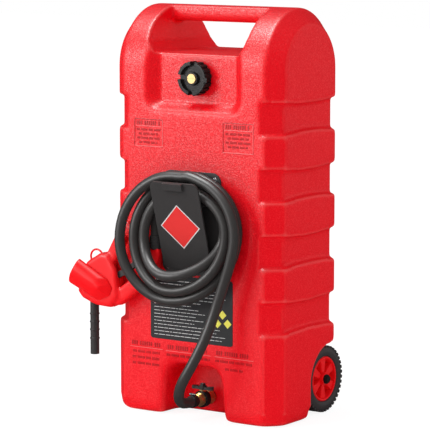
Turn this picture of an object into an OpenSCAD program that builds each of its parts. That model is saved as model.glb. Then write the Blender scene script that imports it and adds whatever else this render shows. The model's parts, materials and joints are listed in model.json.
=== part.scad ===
// Wheeled fuel caddy: a moulded tank with carry bar, screw cap, shut-off valve,
// a hose wound on a hanger and a dispensing nozzle with a trigger.
// Millimetres, +Z up, front towards -Y, origin on the floor under the middle of the tank.

/* [Tank] */
// Width across the front
tank_w = 400; // [390:1:430]
// Depth from front to back
tank_d = 244; // [238:1:260]
// Height from the floor to the top of the carry bar
tank_h = 819; // [810:1:850]
// Thickness of the moulded wall
wall = 4; // [3:0.5:5]
// Chamfer of the four upright corners
corner = 31; // [26:1:36]
// Chamfer round the foot of the tank
foot_chamfer = 14; // [8:1:18]
// Height of the plain base below the first groove
base_h = 184; // [180:1:190]
// Height of each groove that runs round the sides
groove_h = 64; // [58:1:66]
// Height of each raised band between the grooves
band_h = 66.5; // [62:0.5:68]
// Depth of the grooves
groove_depth = 9; // [6:0.5:12]
// Rise of the band edges at the middle of the sides
band_bow = 5; // [2:0.5:8]

/* [Filler bay and carry bar] */
// Width of the bay in the front face
bay_w = 228; // [220:1:234]
// Width of the flat panel at the back of the bay
panel_w = 184; // [160:1:190]
// Depth of the bay
bay_depth = 23; // [20:1:28]
// Height of the bay from its lip to the shelf
bay_h = 113; // [108:1:118]
// Rise of the sloping sill at the foot of the bay
bay_sill = 14; // [8:1:18]
// Distance from the top of the tank down to the shelf
shelf_drop = 92; // [86:1:96]
// Width of the hand opening under the carry bar
slot_w = 236; // [230:1:244]
// Height of the carry bar
bar_h = 33; // [28:1:38]
// Depth of the carry bar from front to back
bar_d = 44; // [36:1:50]

/* [Filler neck and cap] */
// Outer radius of the neck
neck_r = 25; // [24:0.5:26]
// Inner radius of the neck
neck_bore_r = 19; // [17:0.5:20]
// Height of the neck above the panel
neck_h = 14; // [13:0.5:16]
// Outer radius of the cap
cap_r = 34; // [32:0.5:36]
// Height of the cap
cap_h = 25; // [24:0.5:28]
// Radius of the dish in the face of the cap
dish_r = 26; // [24:0.5:28]
// Depth of the dish
dish_depth = 8; // [5:0.5:9]
// Radius of the vent screw's head
vent_r = 9.5; // [8:0.5:10]

/* [Hose hanger] */
// Width of the base that is screwed to the tank
hanger_base_w = 140; // [134:1:146]
// Height of the base
hanger_base_h = 206; // [200:1:210]
// Thickness of the base
hanger_base_t = 3; // [2.5:0.1:3.2]
// Thickness of the front plate
plate_t = 4; // [3:0.5:4.5]
// Width of the front plate
plate_w = 114; // [108:1:115]
// Height of the front plate
plate_h = 186; // [180:1:188]
// Lean of the plate, its top away from the tank
plate_tilt = 16.5; // [15.5:0.5:18]
// Distance of the plate's middle from the tank
plate_reach = 40.7; // [40.2:0.1:42]
// Outer radius of the saddle that carries the hose
saddle_r = 62.5; // [56:0.5:62.5]

/* [Outlet valve] */
// Height of the outlet above the floor
outlet_z = 35; // [34:0.5:36]
// Outer radius of the outlet tube
outlet_r = 8; // [7:0.25:8]
// Radius of the way through the valve
flow_r = 5.5; // [4.5:0.25:5.5]
// Radius of the valve's ball
ball_r = 8.5; // [8:0.1:8.6]
// Width of the valve's hexagons across the flats
valve_hex = 24; // [23.5:0.5:26]

/* [Valve pocket] */
// Width of the pocket at the floor
pocket_w = 144; // [136:1:150]
// Width of the pocket at its top
pocket_top_w = 128; // [120:1:132]
// Height of the pocket
pocket_h = 106; // [98:1:110]
// Depth of the pocket
pocket_depth = 66; // [66:1:72]

/* [Wheels] */
// Radius of the wheels
wheel_r = 68; // [64:0.5:70]
// Width of the tyres
tyre_w = 38; // [34:0.5:38]
// Radius of the axle
axle_r = 6; // [5:0.25:6.5]
// Distance from the back of the tank to the axle
axle_inset = 39; // [36:1:44]
// Depth of the wheel wells from the sides of the tank
well_depth = 60; // [60:1:66]
// Room round the wheel in its well
well_gap = 8; // [6:0.5:10]

/* [Nozzle] */
// Thickness of the nozzle's body
nozzle_t = 34; // [30:0.5:34]
// Thickness of the grip and the trigger guard
grip_t = 22; // [20:0.5:22]
// Thickness of the trigger
trigger_t = 10; // [8:0.5:10]
// Outer radius of the spout
spout_r = 9; // [8:0.25:9]
// Inner radius of the spout
spout_bore_r = 7; // [6:0.25:7]
// Length of the spout that hangs below its socket
spout_drop = 129; // [110:1:131]

/* [Hose] */
// Outer diameter of the hose
hose_d = 21; // [18:0.5:21]

/* [Hidden] */
$fn = 64;

// Overshoot of cuts past the faces that they open
past = 1;
// Radial play of a piece that turns in a bore
running = 0.05;
// Room between pieces that pass without touching
room = 0.3;

front_y = -tank_d / 2;
hood_z = base_h + 4 * groove_h + 3 * band_h;
arch_r = tank_d / 2;
arch_z = tank_h - arch_r;
shelf_z = tank_h - shelf_drop;
bar_z = tank_h - bar_h;
bay_z = shelf_z - bay_h;
filler_drop = 47;
filler_z = shelf_z - filler_drop;
// Share of an inset by which a 45 degree chamfer shrinks
chamfer_share = 2 - sqrt(2);
bow_half = tank_d / 2 - corner;
bow_steps = 8;
bay_lip_r = 26;
bay_panel_r = 12;
slot_corner = 18;
slot_corner_h = 22;
slot_taper = 4;
bar_round = 14;
pocket_round = 24;

axle_y = tank_d / 2 - axle_inset;
well_x = tank_w / 2 - well_depth;
well_r = wheel_r + well_gap;
well_rise = 18;
sleeve_wall = 4;

gasket_t = 2;
cap_lift = 1;
skirt_play = 0.4;
cap_top = cap_lift + cap_h;
cap_ceiling = neck_h + gasket_t;
dish_floor = cap_top - dish_depth;
vent_shaft_r = 4;
vent_head_t = 2.5;
notch_w = 8;
notches = 6;

hanger_z = 394;
base_round = 20;
plate_z = hanger_z - 3;
plate_round = 14;
saddle_z = 386;
saddle_t = 5;
saddle_sweep = 80;
lip_w = 46;
lip_h = 14;
lip_t = 6;
plate_screw_x = 20;
plate_boss_r = 7;
plate_screw_r = 2.4;
plate_screw_l = 16;
screw_head_r = 5;
base_screw_x = hanger_base_w / 2 - 14;
base_screw_z = hanger_base_h / 2 - 14;
base_screw_r = 2.9;
base_head_r = 5.5;
base_head_t = 1.6;
insert_r = 4.5;
insert_l = 12;
boss_wall = 4.5;

// Depths behind the front face of the parts of the valve, from the tank outwards
flange_t = 3;
flange_r = 13;
washer_t = 2;
nut_l = 9;
socket_l = 8;
chamber_r = ball_r + 1;
seat_l = 5;
ball_gap = 0.1;
nut_depth = pocket_depth - washer_t;
body_depth = nut_depth - nut_l;
chamber_depth = body_depth - socket_l - 1;
ball_depth = chamber_depth - 9;
body_end = ball_depth - 12;
barrel_r = chamber_r + 3.5;
plug_l = 3;
barb_hex_l = 8;
collar_l = 5;
hose_start = body_end - barb_hex_l - collar_l;
stem_r = 3;
stem_boss_r = 7;
stem_boss_z = 19;
slot_in_ball = 4;
handle_r = 8;
handle_t = 7.6;
wing_reach = 24;
wing_t = 5;
nut_hex = 10;
nut_t = 4;
clamp_w = 12;
clamp_t = 1.5;

tyre_inset = 15;
tyre_x = tank_w / 2 - tyre_inset - tyre_w;
tyre_h = 22;
rim_r = wheel_r - tyre_h;
rim_wall = 5;
hub_r = 13;
hub_overhang = 3;
washer_r = 12;
tread_notches = 18;
spokes = 6;
axle_end = tyre_x + tyre_w + 4;
cap_wall = 3;

nozzle_depth = -(nozzle_t / 2 + room);
nozzle_y = front_y + nozzle_depth;
body_outline = [[-262, 240], [-250, 226], [-215, 214], [-178, 212], [-160, 235],
    [-165, 290], [-185, 322], [-205, 322], [-240, 300]];
hood_outline = [[-253, 308], [-278, 256], [-204, 224], [-177, 236], [-170, 253], [-181, 270]];
guard_r = 14;
heel_r = 15;
grip_r = 13;
elbow_r = 12;
// Ends and radius of each arm of the loop: guard from the hose, guard to the body, grip, grip to the hose
arms = [[[-76, 334], [-86, 292], guard_r], [[-86, 292], [-165, 232], heel_r],
    [[-186, 306], [-146, 378], grip_r], [[-146, 378], [-92, 340], elbow_r]];
arm_bevel = 3;
body_bevel = 5;
hood_t = 18;
hood_bevel = 6;
ferrule_x = -76;
ferrule_z = 340;
ferrule_r = 12.5;
ferrule_l = 25;
ferrule_stem_l = 10;
ferrule_stem_r = 8.9;
spout_x = -229;
socket_z = 240;
ridge_r = spout_r + 1;
ridge_t = 3;
ridge_places = [46, 62.5, 78.5, 96.5];
pivot = [-244, 256];
pin_r = 3;
eye_r = 6.5;
lever_r = 4;
lever_bend = [-214, 256];
lever_mid = [-142, 291];
lever_mid_r = 6;
lever_tip_r = 5.2;
lever_tip = [-112, 318];
fork = [-235.5, -221.5];
fork_w = 6;
// Angle through which the trigger is squeezed
squeeze = 10;
collar_z = pivot[1] + lever_r + room;
collar_t = 3;
chamber_top = 290;
poppet_r = spout_bore_r + 0.5;
spring_r = 4.6;
spring_wire = 0.8;
spring_turns = 6;
loop_r = 15;
loop_wire = 2;
loop_at = [-222.5, 311];
loop_turn = atan2(22, 35);
nozzle_screw_at = [[-248, 236], [-196, 304], [-186, 228], [-112, 272]];
nozzle_screw_l = 13;
nozzle_screw_r = 1.5;
nozzle_head_r = 3;

// Turning points of the coil's loops, as x, depth behind the front face and height.
// They are the left, top, right and bottom of each loop in turn, from the nozzle outwards.
coil_stops = [
    [-76, -17.3, 388], [0, -14, 460], [86, -14, 384], [-14, -66, 295],
    [-88, -41, 366], [4, -35.5, 462], [103, -35, 384], [-20, -50, 263],
    [-113, -40.5, 362], [0, -14, 489], [116, -14, 384], [-30, -38, 241],
    [-139, -53, 358], [-16, -40, 490]];
coil_end = [5, -40, 490];
coil_rings = 6;
coil_sides = 6;
// Route of the hose from the valve up to the coil, as x, depth behind the front face and height
tail_route = [
    [0, hose_start, outlet_z], [0, -2, 35], [0, -12, 35], [3, -38, 39], [10, -60, 52], [21, -75, 71],
    [34, -80, 94], [48, -77, 119], [60, -70, 146], [70, -61, 174], [78, -52, 203],
    [86, -45, 234], [96, -42, 266], [108, -41, 300], [120, -41, 336], [127, -41, 374],
    [122, -41, 412], [103, -40.5, 447], [70, -40, 474], [26, -40, 490], coil_end];
tail_sides = 10;

red = "crimson";
rubber = "dimgray";
black = [0.12, 0.12, 0.13];
brass = "goldenrod";
steel = "lightsteelblue";

// Frames and small shapes

// Places its children with their z axis pointing forwards, out of the front face
module on_front(depth, x, z) translate([x, front_y + depth, z]) rotate([90, 0, 0]) children();

// Extrudes a profile of y and z along x
module along_x(length, x0) translate([x0, 0, 0]) rotate([90, 0, 90]) linear_extrude(length) children();

// Extrudes a profile of x and z along y, back from the given depth
module along_y(from_y, to_y)
    translate([0, to_y, 0]) rotate([90, 0, 0]) linear_extrude(to_y - from_y) children();

module ring(outer, inner, height) difference() {
    cylinder(r = outer, h = height);
    translate([0, 0, -past]) cylinder(r = inner, h = height + 2 * past);
}

module hexagon(flats, height) cylinder(r = flats / sqrt(3), h = height, $fn = 6);

module capsule(a, b, r) {
    span = b - a;
    translate(a) circle(r);
    translate(b) circle(r);
    translate(a) rotate(atan2(span[1], span[0])) translate([0, -r]) square([norm(span), 2 * r]);
}

module rounded_plate(w, h, r, t) linear_extrude(t) {
    square([w - 2 * r, h], center = true);
    square([w, h - 2 * r], center = true);
    for (x = [-1, 1], y = [-1, 1]) translate([x * (w / 2 - r), y * (h / 2 - r)]) circle(r);
}

function arc(c, r, from, to, steps = 8) =
    [for (k = [0:steps]) let (a = from + (to - from) * k / steps) c + r * [cos(a), sin(a)]];

// Tubes along a route

function unit(v) = v / norm(v);
function tangents(p) = [for (i = [0:len(p) - 1]) unit(p[min(i + 1, len(p) - 1)] - p[max(i - 1, 0)])];
// Carries one side direction along the tube without twist
function carried(t, u, i = 0) = i == len(t) ? [] :
    let (w = unit(u - (u * t[i]) * t[i])) concat([w], carried(t, w, i + 1));

module tube(p, r, sides, start_side) {
    t = tangents(p);
    n = carried(t, start_side);
    last = len(p) - 1;
    points = [for (i = [0:last], k = [0:sides - 1])
        p[i] + r * (cos(360 * k / sides) * n[i] + sin(360 * k / sides) * cross(t[i], n[i]))];
    skin = [for (i = [0:last - 1], k = [0:sides - 1], half = [0, 1])
        let (a = i * sides + k, b = i * sides + (k + 1) % sides)
            half == 0 ? [a, a + sides, b + sides] : [a, b + sides, b]];
    caps = [for (k = [1:sides - 2], end = [0, 1])
        end == 0 ? [0, k, k + 1] : [last * sides, last * sides + k + 1, last * sides + k]];
    polyhedron(points = points, faces = concat(skin, caps));
}

// One quarter of a loop, leaving a stop upright or level
function quarter(a, b, upright, k) = let (f = 90 * k / coil_rings, s = (1 - cos(2 * f)) / 2) [
    upright ? b[0] + (a[0] - b[0]) * cos(f) : a[0] + (b[0] - a[0]) * sin(f),
    a[1] + (b[1] - a[1]) * s,
    upright ? a[2] + (b[2] - a[2]) * sin(f) : b[2] + (a[2] - b[2]) * cos(f)];
function placed(route) = [for (p = route) [p[0], front_y + p[1], p[2]]];
coil_start = [ferrule_x, nozzle_depth, ferrule_z + ferrule_l];
coil_route = placed(concat([coil_start],
    [for (i = [0:len(coil_stops) - 2], k = [0:coil_rings - 1])
        quarter(coil_stops[i], coil_stops[i + 1], i % 2 == 0, k)],
    [coil_stops[len(coil_stops) - 1], coil_end]));

// Least room between the turns, measured on points a few millimetres apart
function fine(p, parts) = [for (i = [0:len(p) - 2], k = [0:parts - 1]) p[i] + (p[i + 1] - p[i]) * k / parts];
function least_gap(a, skip) =
    min([for (i = [0:len(a) - 1], j = [i + skip:1:len(a) - 1]) norm(a[i] - a[j])]) - hose_d;
function gap_between(a, b) = min([for (p = a, q = b) norm(p - q)]) - hose_d;

// Tank

function octagon(w, d, c) = [
    [-w / 2, -d / 2 + c], [-w / 2 + c, -d / 2], [w / 2 - c, -d / 2], [w / 2, -d / 2 + c],
    [w / 2, d / 2 - c], [w / 2 - c, d / 2], [-w / 2 + c, d / 2], [-w / 2, d / 2 - c]];

function bowed(z, rise) = [for (k = [-bow_steps:bow_steps])
    [bow_half * k / bow_steps, z + rise * (1 - pow(k / bow_steps, 2))]];
function backwards(p) = [for (i = [len(p) - 1:-1:0]) p[i]];

// Side view of one raised band, with bowed edges below and above
module band_profile(low, high, low_bow, high_bow) polygon(concat(
    [[-tank_d, low]], bowed(low, -low_bow), [[tank_d, low], [tank_d, high]],
    backwards(bowed(high, high_bow)), [[-tank_d, high]]));

// Outer form of the tank, drawn in by the given inset on all its faces
module tank_form(inset) {
    w = tank_w - 2 * inset;
    d = tank_d - 2 * inset;
    c = corner - chamfer_share * inset;
    step = groove_h + band_h;
    difference() {
        intersection() {
            translate([0, 0, inset]) linear_extrude(arch_z - inset) polygon(octagon(w, d, c));
            along_x(2 * tank_w, -tank_w) {
                band_profile(-past, base_h - inset, 0, band_bow);
                for (k = [1:3]) band_profile(base_h + k * step - band_h + inset, base_h + k * step - inset,
                    band_bow, band_bow);
                band_profile(hood_z + inset, tank_h, band_bow, 0);
            }
        }
        foot_cuts(w, d, inset);
    }
    core_c = corner + (sqrt(2) - 1) * groove_depth - chamfer_share * inset;
    translate([0, 0, base_h / 2]) linear_extrude(arch_z - base_h / 2)
        polygon(octagon(w - 2 * groove_depth, d, core_c));
    half_section = [[0, -w / 2], [d / 2 - c, -w / 2], [d / 2, -w / 2 + c],
        [d / 2, w / 2 - c], [d / 2 - c, w / 2], [0, w / 2]];
    translate([0, 0, arch_z]) rotate([90, 0, 90]) rotate_extrude(angle = 180) polygon(half_section);
}

// Sloping cuts round the foot
module foot_cuts(w, d, low) {
    c = foot_chamfer;
    for (side = [-1, 1]) {
        along_x(2 * tank_w, -tank_w)
            polygon([[side * (d / 2 - c), low], [side * d, low - d / 2 - c], [side * d / 2, low + c],
                [side * d, low + c + d / 2]]);
        along_y(-tank_d, tank_d)
            polygon([[side * (w / 2 - c), low], [side * w, low - w / 2 - c], [side * w / 2, low + c],
                [side * w, low + c + w / 2]]);
    }
}

// Filler bay with sloping walls, grown by the given amount
module bay(grow) {
    run = (bay_w - panel_w) / 2;
    side_grow = grow * norm([run, bay_depth]) / bay_depth;
    sill_grow = grow * norm([bay_sill, bay_depth]) / bay_depth;
    hull() for (t = [-past, bay_depth + grow], side = [-1, 1]) {
        half = bay_w / 2 - run * t / bay_depth + side_grow;
        low = bay_z + bay_sill * t / bay_depth - sill_grow;
        round_r = bay_lip_r + (bay_panel_r - bay_lip_r) * t / bay_depth;
        translate([side * (half - round_r), front_y + t, low + round_r])
            rotate([90, 0, 0]) cylinder(r = round_r, h = 0.01, $fn = 32);
        translate([side * (half - 0.5) - 0.5, front_y + t, tank_h]) cube([1, 0.01, past]);
    }
}

// Hand opening from front to back above the shelf
module hand_opening(grow) {
    half = slot_w / 2 + grow;
    low = shelf_z - grow;
    right = [[half - slot_corner, low], [half - slot_taper, low + slot_corner_h], [half, bar_z],
        [half, tank_h + past]];
    along_y(-tank_d, tank_d) polygon(concat(right, [for (p = backwards(right)) [-p[0], p[1]]]));
}

module carry_bar() along_x(slot_w + 2 * past, -slot_w / 2 - past) {
    translate([-bar_d / 2, bar_z + bar_round]) square([bar_d, tank_h]);
    translate([-bar_d / 2 + bar_round, bar_z]) square([bar_d - 2 * bar_round, bar_h]);
    for (side = [-1, 1]) translate([side * (bar_d / 2 - bar_round), bar_z + bar_round]) circle(bar_round);
}

// Pocket in the foot of the front face, open at the floor
module valve_pocket(grow) {
    top = pocket_h + grow;
    half = pocket_top_w / 2 + grow;
    foot_half = pocket_w / 2 + grow;
    round_r = pocket_round + grow;
    right = concat([[foot_half, -past]], arc([half - round_r, top - round_r], round_r, 0, 90));
    along_y(front_y - past, front_y + pocket_depth + grow)
        polygon(concat(right, [for (p = backwards(right)) [-p[0], p[1]]]));
}

module wheel_wells(grow) for (side = [0, 1]) mirror([side, 0, 0]) {
    r = well_r + grow;
    back = tank_d / 2 + past;
    translate([well_x - grow, axle_y, wheel_r]) rotate([0, 90, 0]) cylinder(r = r, h = tank_w);
    along_x(tank_w, well_x - grow) {
        translate([axle_y - r, -past]) square([back - axle_y + r, wheel_r + past]);
        polygon([[axle_y, wheel_r], [back, wheel_r], [back, wheel_r + r + well_rise],
            [axle_y, wheel_r + r]]);
    }
}

module at_base_screws() for (x = [-1, 1], z = [-1, 1])
    on_front(0, x * base_screw_x, hanger_z + z * base_screw_z) children();

module axle_sleeve(r) translate([-tank_w, axle_y, wheel_r]) rotate([0, 90, 0])
    cylinder(r = r, h = 2 * tank_w);

module tank_shell() color(red) difference() {
    union() {
        difference() {
            tank_form(0);
            bay(0);
            difference() {
                hand_opening(0);
                carry_bar();
            }
            valve_pocket(0);
            wheel_wells(0);
            difference() {
                tank_form(wall);
                bay(wall);
                hand_opening(wall);
                valve_pocket(wall);
                wheel_wells(wall);
                axle_sleeve(axle_r + running + sleeve_wall);
                at_base_screws() translate([0, 0, -insert_l - boss_wall])
                    cylinder(r = insert_r + boss_wall, h = insert_l + boss_wall);
            }
        }
        on_front(bay_depth, 0, filler_z) translate([0, 0, -wall / 2])
            cylinder(r = neck_r, h = neck_h + wall / 2);
    }
    on_front(bay_depth, 0, filler_z) translate([0, 0, -wall - past])
        cylinder(r = neck_bore_r, h = neck_h + wall + 2 * past);
    on_front(pocket_depth, 0, outlet_z) translate([0, 0, -wall - past])
        cylinder(r = outlet_r + running, h = wall + 2 * past);
    at_base_screws() translate([0, 0, -insert_l]) cylinder(r = insert_r + running, h = insert_l + past);
    axle_sleeve(axle_r + running);
}

// Filler cap, its seal and the vent screw in its middle

module filler_cap() color(black) on_front(bay_depth, 0, filler_z) difference() {
    union() {
        translate([0, 0, cap_lift]) cylinder(r = cap_r - 1, h = cap_h);
        translate([0, 0, cap_lift + 1]) cylinder(r = cap_r, h = cap_h - 2);
    }
    translate([0, 0, cap_lift - past]) cylinder(r = neck_r + skirt_play, h = cap_ceiling - cap_lift + past);
    translate([0, 0, dish_floor]) ring(dish_r, vent_r + 2.5, dish_depth + past);
    for (k = [0:notches - 1]) rotate(360 * k / notches) translate([dish_r - 4, -notch_w / 2, dish_floor])
        cube([8, notch_w, dish_depth + past]);
    for (k = [0:2 * notches - 1]) rotate(360 * (k + 0.5) / (2 * notches)) translate([cap_r, 0, cap_lift + 4])
        cylinder(r = 1.6, h = cap_h);
    translate([0, 0, cap_top - vent_head_t]) cylinder(r = vent_r + running, h = vent_head_t + past);
    cylinder(r = vent_shaft_r + running, h = cap_top);
}

module cap_gasket() color(black) on_front(bay_depth, 0, filler_z)
    translate([0, 0, neck_h]) ring(neck_r, neck_bore_r, gasket_t);

module vent_screw() color(brass) on_front(bay_depth, 0, filler_z) difference() {
    union() {
        translate([0, 0, cap_top - vent_head_t]) cylinder(r = vent_r, h = vent_head_t);
        translate([0, 0, cap_ceiling])
            cylinder(r = vent_shaft_r, h = cap_top - cap_ceiling - vent_head_t / 2);
    }
    translate([-vent_r, -1, cap_top - 1.2]) cube([2 * vent_r, 2, 1.2 + past]);
}

// Hanger for the hose

module on_plate() on_front(0, 0, plate_z) translate([0, 0, plate_reach])
    rotate([plate_tilt, 0, 0]) children();

// All that lies in front of the plate's back face
module before_plate() on_plate() translate([-tank_w / 2, -tank_w, -plate_t])
    cube([tank_w, 2 * tank_w, tank_w]);

module plate_screw_bores(r, from, length) on_plate() for (x = [-1, 1])
    translate([x * plate_screw_x, 0, from]) cylinder(r = r, h = length);

module hanger_base() color(black) difference() {
    union() {
        on_front(0, 0, hanger_z) rounded_plate(hanger_base_w, hanger_base_h, base_round, hanger_base_t);
        difference() {
            on_front(0, 0, saddle_z) translate([0, 0, hanger_base_t / 2]) rotate(90 - saddle_sweep / 2)
                rotate_extrude(angle = saddle_sweep) translate([saddle_r - saddle_t, 0])
                    square([saddle_t, 2 * plate_reach]);
            before_plate();
        }
        intersection() {
            plate_screw_bores(plate_boss_r, -plate_t - 2 * plate_reach, 2 * plate_reach);
            on_front(0, 0, hanger_z) translate([-tank_w / 2, -tank_w / 2, 0]) cube(tank_w);
        }
    }
    plate_screw_bores(plate_screw_r + running, -plate_t - plate_screw_l, plate_screw_l + past);
    at_base_screws() {
        translate([0, 0, -past]) cylinder(r = base_screw_r + 2 * running, h = hanger_base_t + 2 * past);
        translate([0, 0, hanger_base_t - base_head_t])
            cylinder(r = base_head_r + 2 * running, h = base_head_t + past);
    }
}

module hanger_plate() color(black) difference() {
    on_plate() union() {
        translate([0, 0, -plate_t]) rounded_plate(plate_w, plate_h, plate_round, plate_t);
        translate([-lip_w / 2, plate_h / 2 - lip_h, -plate_t / 2]) cube([lip_w, lip_h, lip_t + plate_t / 2]);
    }
    plate_screw_bores(plate_screw_r + running, -plate_t - past, plate_t + 2 * past);
    plate_screw_bores(screw_head_r + 2 * running, -plate_t / 2, plate_t);
}

module hanger_plate_screws() color(steel) {
    plate_screw_bores(screw_head_r, -plate_t / 2, plate_t / 2 - 2 * running);
    plate_screw_bores(plate_screw_r, past - plate_t - plate_screw_l, plate_screw_l + plate_t / 2);
}

module hanger_base_screws() color(steel) at_base_screws() difference() {
    union() {
        translate([0, 0, hanger_base_t - base_head_t])
            cylinder(r = base_head_r, h = base_head_t - 2 * running);
        translate([0, 0, 2 - insert_l])
            cylinder(r = base_screw_r, h = insert_l - 2 + hanger_base_t - base_head_t / 2);
    }
    translate([0, 0, hanger_base_t - 1]) hexagon(4, 2);
}

module hanger_inserts() color(brass) at_base_screws() translate([0, 0, -insert_l])
    ring(insert_r, base_screw_r + running, insert_l);

// Axle and wheels

module on_axle(x) translate([x, axle_y, wheel_r]) rotate([0, 90, 0]) children();

module axle() color(steel) on_axle(-axle_end) cylinder(r = axle_r, h = 2 * axle_end);

module tyre(side) color(black) mirror([side < 0 ? 1 : 0, 0, 0]) on_axle(tyre_x) difference() {
    rotate_extrude() polygon([[rim_r, 3], [rim_r + 3, 0.5], [rim_r + 12, 0], [wheel_r - 4, 2], [wheel_r, 8],
        [wheel_r, tyre_w - 8], [wheel_r - 4, tyre_w - 2], [rim_r + 12, tyre_w], [rim_r + 3, tyre_w - 0.5],
        [rim_r, tyre_w - 3]]);
    for (k = [0:tread_notches - 1], row = [0, 1]) rotate(360 * (k + row / 2) / tread_notches)
        translate([wheel_r - 3, -2, row * (tyre_w - 11) - past]) cube([4, 4, 11 + 2 * past]);
}

module rim(side) color(red) mirror([side < 0 ? 1 : 0, 0, 0]) on_axle(tyre_x) difference() {
    barrel = rim_r - 0.15;
    union() {
        rotate_extrude() polygon([[barrel - rim_wall, 2], [barrel, 4], [barrel, tyre_w - 4],
            [barrel - rim_wall, tyre_w - 2]]);
        translate([0, 0, tyre_w / 2 - 4]) cylinder(r = barrel - rim_wall / 2, h = 5);
        translate([0, 0, -hub_overhang]) cylinder(r = hub_r, h = tyre_w + hub_overhang);
        for (k = [0:spokes - 1]) rotate(360 * k / spokes) translate([hub_r - 2, -2.5, tyre_w / 2 - 8])
            cube([barrel - rim_wall - hub_r + 3, 5, tyre_w / 2 + 3]);
    }
    translate([0, 0, -hub_overhang - past])
        cylinder(r = axle_r + running, h = tyre_w + hub_overhang + 2 * past);
}

module left_tyre() tyre(-1);
module left_rim() rim(-1);
module right_tyre() tyre(1);
module right_rim() rim(1);

module axle_washers() color(steel) for (side = [0, 1]) mirror([side, 0, 0])
    on_axle(well_x) ring(washer_r, axle_r + 2 * running, tyre_x - hub_overhang - well_x - room);

module axle_caps() color(black) for (side = [0, 1]) mirror([side, 0, 0])
    on_axle(tyre_x + tyre_w + room) difference() {
        union() {
            cylinder(r = axle_r + 3.5, h = axle_end - tyre_x - tyre_w);
            cylinder(r = axle_r + 1.5, h = axle_end - tyre_x - tyre_w + cap_wall);
        }
        translate([0, 0, -past]) cylinder(r = axle_r + running, h = axle_end - tyre_x - tyre_w + past);
    }

// Outlet and shut-off valve, along the outlet's axis

module on_outlet(depth) on_front(depth, 0, outlet_z) children();

module bulkhead_fitting() color(brass) difference() {
    union() {
        on_outlet(pocket_depth + wall + flange_t) cylinder(r = flange_r, h = flange_t);
        on_outlet(pocket_depth + wall + flange_t)
            cylinder(r = outlet_r, h = pocket_depth + wall + flange_t - body_depth + socket_l);
    }
    on_outlet(pocket_depth + wall + flange_t + past) cylinder(r = flow_r, h = pocket_depth);
}

module outlet_washer() color(black) on_outlet(pocket_depth) ring(flange_r, outlet_r + 2 * running, washer_t);

module outlet_nut() color(brass) on_outlet(nut_depth) difference() {
    hexagon(valve_hex + 2, nut_l);
    translate([0, 0, -past]) cylinder(r = outlet_r + running, h = nut_l + 2 * past);
}

module valve_body() color(brass) difference() {
    union() {
        on_outlet(body_depth) hexagon(valve_hex, socket_l);
        on_outlet(body_depth - socket_l) cylinder(r = barrel_r, h = body_depth - socket_l - body_end);
        translate([0, front_y + ball_depth, outlet_z]) cylinder(r = stem_boss_r, h = stem_boss_z);
    }
    on_outlet(body_depth + past) cylinder(r = outlet_r + running, h = socket_l + past);
    on_outlet(body_depth) cylinder(r = flow_r, h = body_depth - body_end + past);
    on_outlet(chamber_depth) cylinder(r = chamber_r, h = chamber_depth - body_end + past);
    translate([0, front_y + ball_depth, outlet_z]) cylinder(r = stem_r + running, h = stem_boss_z + past);
}

module at_ball() translate([0, front_y + ball_depth, outlet_z]) children();

module valve_ball() color(steel) at_ball() difference() {
    sphere(ball_r);
    rotate([0, 90, 0]) cylinder(r = flow_r, h = 4 * ball_r, center = true);
    translate([-slot_in_ball / 2, -ball_r, ball_r - 2]) cube([slot_in_ball, 2 * ball_r, ball_r]);
}

module valve_seats() color("white") difference() {
    union() {
        on_outlet(chamber_depth) ring(chamber_r - 0.1, flow_r, seat_l);
        on_outlet(ball_depth - 9 + seat_l) ring(chamber_r - 0.1, flow_r, seat_l);
    }
    at_ball() sphere(ball_r + ball_gap);
}

module valve_stem() color(steel) at_ball() {
    top = stem_boss_z + room + handle_t;
    translate([0, 0, ball_r + 0.2]) cylinder(r = stem_r, h = top - ball_r - 0.2);
    translate([0, 0, ball_r]) cylinder(r = stem_r - 1, h = top - ball_r + nut_t + 1);
    intersection() {
        translate([-slot_in_ball / 2 + 0.1, -stem_r, ball_r - 1.8])
            cube([slot_in_ball - 0.2, 2 * stem_r, 3]);
        cylinder(r = stem_r, h = 2 * ball_r);
    }
}

module valve_handle() color(black) at_ball() translate([0, 0, stem_boss_z + room]) difference() {
    union() {
        cylinder(r = handle_r, h = handle_t);
        linear_extrude(wing_t) capsule([-wing_reach + wing_t, 0], [wing_reach - wing_t, 0], wing_t);
        for (side = [-1, 1]) translate([side * (wing_reach - wing_t), 0, 0])
            cylinder(r = wing_t + 1.5, h = wing_t + 1);
    }
    translate([0, 0, -past]) cylinder(r = stem_r + running, h = handle_t + 2 * past);
}

module handle_nut() color(steel) at_ball() translate([0, 0, stem_boss_z + room + handle_t]) difference() {
    hexagon(nut_hex, nut_t);
    translate([0, 0, -past]) cylinder(r = stem_r - 1 + running, h = nut_t + 2 * past);
}

module hose_barb() color(brass) difference() {
    union() {
        on_outlet(body_end + plug_l) cylinder(r = chamber_r - 0.1, h = plug_l);
        on_outlet(body_end) hexagon(valve_hex, barb_hex_l);
        on_outlet(body_end - barb_hex_l) cylinder(r = hose_d / 2, h = collar_l);
    }
    on_outlet(body_end + plug_l + past) cylinder(r = flow_r, h = plug_l + barb_hex_l + collar_l + 2 * past);
}

module tail_clamp() color(steel) difference() {
    union() {
        on_outlet(hose_start - 4) ring(hose_d / 2 + room + clamp_t, hose_d / 2 + room, clamp_w);
        on_outlet(hose_start - 4 - clamp_w / 4) translate([0, hose_d / 2 + room + clamp_t + 2, clamp_w / 4])
            rotate([0, 90, 0]) cylinder(r = 2.6, h = 14, center = true);
    }
    on_outlet(hose_start) cylinder(r = hose_d / 2 + room, h = 2 * clamp_w);
}

module hose_tail() color(rubber) tube(placed(tail_route), hose_d / 2, tail_sides, [1, 0, 0]);

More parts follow.
